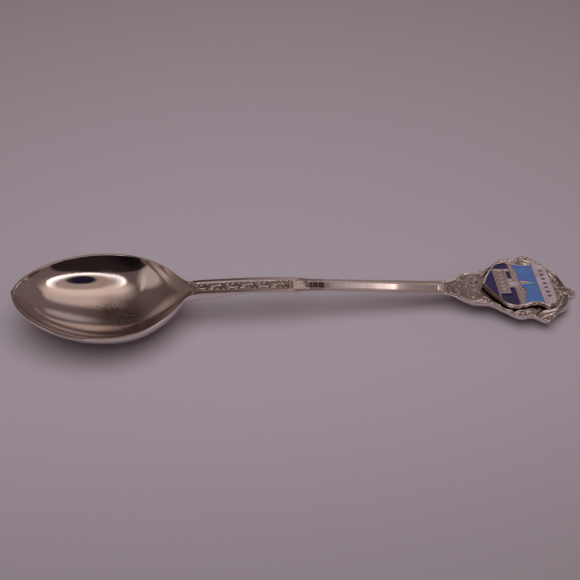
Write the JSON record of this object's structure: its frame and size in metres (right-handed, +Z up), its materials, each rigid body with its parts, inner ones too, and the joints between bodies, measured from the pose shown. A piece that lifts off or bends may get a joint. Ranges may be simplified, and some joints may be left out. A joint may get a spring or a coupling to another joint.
{
  "type": "souvenir spoon",
  "caption": "Small plated souvenir spoon with an oval bowl, an ornamented stem and an enamelled shield crest on a scrolled finial.",
  "frame": {"origin": "on the surface the spoon lies on, under the middle of its overall length and width", "axes": "+X from the bowl's tip to the finial's tip, +Z up out of the bowl"},
  "size_m": [0.114, 0.0238, 0.0105],
  "materials": {
    "plated_metal": "polished plate, lightly tarnished",
    "crest_metal": "polished die-struck plate",
    "solder": "dull",
    "enamel_navy": "glossy fired enamel",
    "enamel_sky": "glossy fired enamel",
    "enamel_white": "glossy fired enamel"
  },
  "bodies": {
    "root": {"spoon_stamping": "plated_metal", "crest_shield": "crest_metal", "crest_solder": "solder", "enamel_field_foot": "enamel_navy", "enamel_field_far": "enamel_navy", "enamel_field_court": "enamel_navy", "enamel_field_near": "enamel_navy", "enamel_tower": "enamel_white", "enamel_sky_far": "enamel_sky", "enamel_sky_near": "enamel_sky", "enamel_banner": "enamel_white"}
  },
  "joints": []
}
